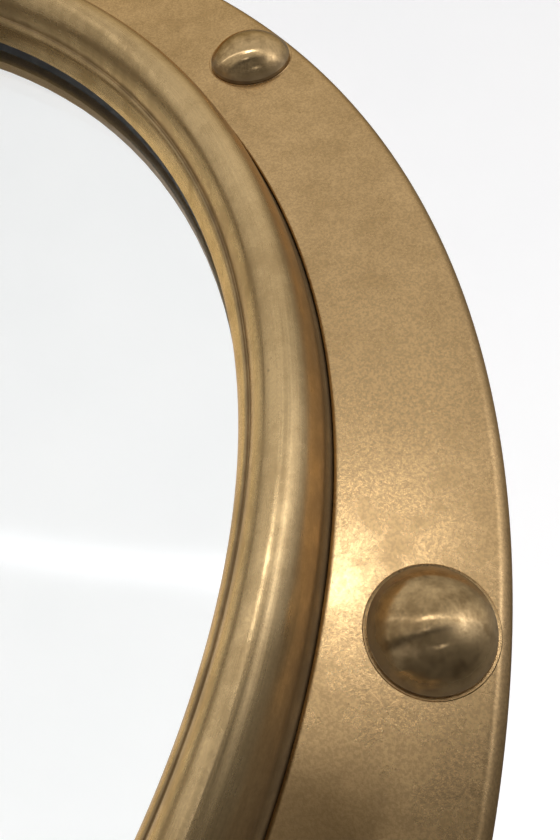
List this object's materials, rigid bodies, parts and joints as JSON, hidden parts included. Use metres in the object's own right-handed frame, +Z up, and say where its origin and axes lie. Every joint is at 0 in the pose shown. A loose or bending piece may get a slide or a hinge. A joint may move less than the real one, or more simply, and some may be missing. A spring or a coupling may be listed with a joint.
{
  "type": "opening porthole",
  "caption": "Round brass boat porthole: bolted flange frame, glazed sash hinged at the top, and swing bolts with wing nuts that clamp it shut.",
  "frame": {"origin": "centre of the flange's hull face, on the porthole's axis", "axes": "+Y along the axis towards the hull, -Y out of the front, +Z up through the hinge"},
  "size_m": [0.3999, 0.0753, 0.4],
  "materials": {
    "flange_brass": "aged satin brass, mottled brown patina with fine pits and scratches",
    "bead_brass": "aged polished brass with fine brushing round the ring",
    "bolt_brass": "aged polished brass, darker round the foot",
    "ring_brass": "turned aged brass",
    "fitting_brass": "satin brass, worn at the edges",
    "rubber": "matt black rubber",
    "glass": "clear polished glass"
  },
  "bodies": {
    "frame": {"flange_ring": "flange_brass", "spigot_ring": "flange_brass", "hinge_lugs": "fitting_brass", "dog_1_lugs": "fitting_brass", "dog_2_lugs": "fitting_brass", "hull_seal": "rubber", "dome_bolts": "bolt_brass", "bolt_seats": "bolt_brass", "sash_seal": "rubber", "hinge_pin": "fitting_brass", "hinge_washer": "fitting_brass", "hinge_split_pin": "fitting_brass", "dog_1_pivot_pin": "fitting_brass", "dog_1_pivot_clip": "fitting_brass", "dog_2_pivot_pin": "fitting_brass", "dog_2_pivot_clip": "fitting_brass"},
    "sash": {"sash_ring": "bead_brass", "hinge_arm": "fitting_brass", "dog_1_fork": "fitting_brass", "dog_2_fork": "fitting_brass", "front_gasket": "rubber", "glass_pane": "glass", "rear_gasket": "rubber", "retaining_ring": "ring_brass", "lock_screws": "fitting_brass"},
    "dog_1_bolt": {"dog_1_eye_bolt": "fitting_brass", "dog_1_end_stop": "fitting_brass"},
    "dog_1_washer": {"dog_1_washer": "fitting_brass"},
    "dog_1_nut": {"dog_1_wing_nut": "fitting_brass"},
    "dog_2_bolt": {"dog_2_eye_bolt": "fitting_brass", "dog_2_end_stop": "fitting_brass"},
    "dog_2_washer": {"dog_2_washer": "fitting_brass"},
    "dog_2_nut": {"dog_2_wing_nut": "fitting_brass"}
  },
  "joints": [
    {"name": "sash_swing", "type": "hinge", "parent": "frame", "child": "sash", "pos_m": [0, -0.0165, 0.186], "axis": [-1, 0, 0], "range_deg": [0, 110]},
    {"name": "dog_1_swing", "type": "hinge", "parent": "frame", "child": "dog_1_bolt", "pos_m": [-0.13294, -0.016, -0.13294], "axis": [-0.7071, 0, 0.7071], "range_deg": [0, 75]},
    {"name": "dog_1_clamp", "type": "slide", "parent": "dog_1_bolt", "child": "dog_1_washer", "axis": [0.683, 0.2588, 0.683], "range_m": [0, 0.006]},
    {"name": "dog_1_nut_turn", "type": "hinge", "parent": "dog_1_washer", "child": "dog_1_nut", "pos_m": [-0.15343, -0.02377, -0.15343], "axis": [0.683, 0.2588, 0.683], "range_deg": [0, 1440]},
    {"name": "dog_2_swing", "type": "hinge", "parent": "frame", "child": "dog_2_bolt", "pos_m": [0.13294, -0.016, -0.13294], "axis": [-0.7071, 0, -0.7071], "range_deg": [0, 75]},
    {"name": "dog_2_clamp", "type": "slide", "parent": "dog_2_bolt", "child": "dog_2_washer", "axis": [-0.683, 0.2588, 0.683], "range_m": [0, 0.006]},
    {"name": "dog_2_nut_turn", "type": "hinge", "parent": "dog_2_washer", "child": "dog_2_nut", "pos_m": [0.15343, -0.02377, -0.15343], "axis": [-0.683, 0.2588, 0.683], "range_deg": [0, 1440]}
  ],
  "couplings": [
    {"joint": "dog_1_nut_turn", "follows": "dog_1_clamp", "rad_per_m": 4188.8},
    {"joint": "dog_2_nut_turn", "follows": "dog_2_clamp", "rad_per_m": 4188.8}
  ]
}
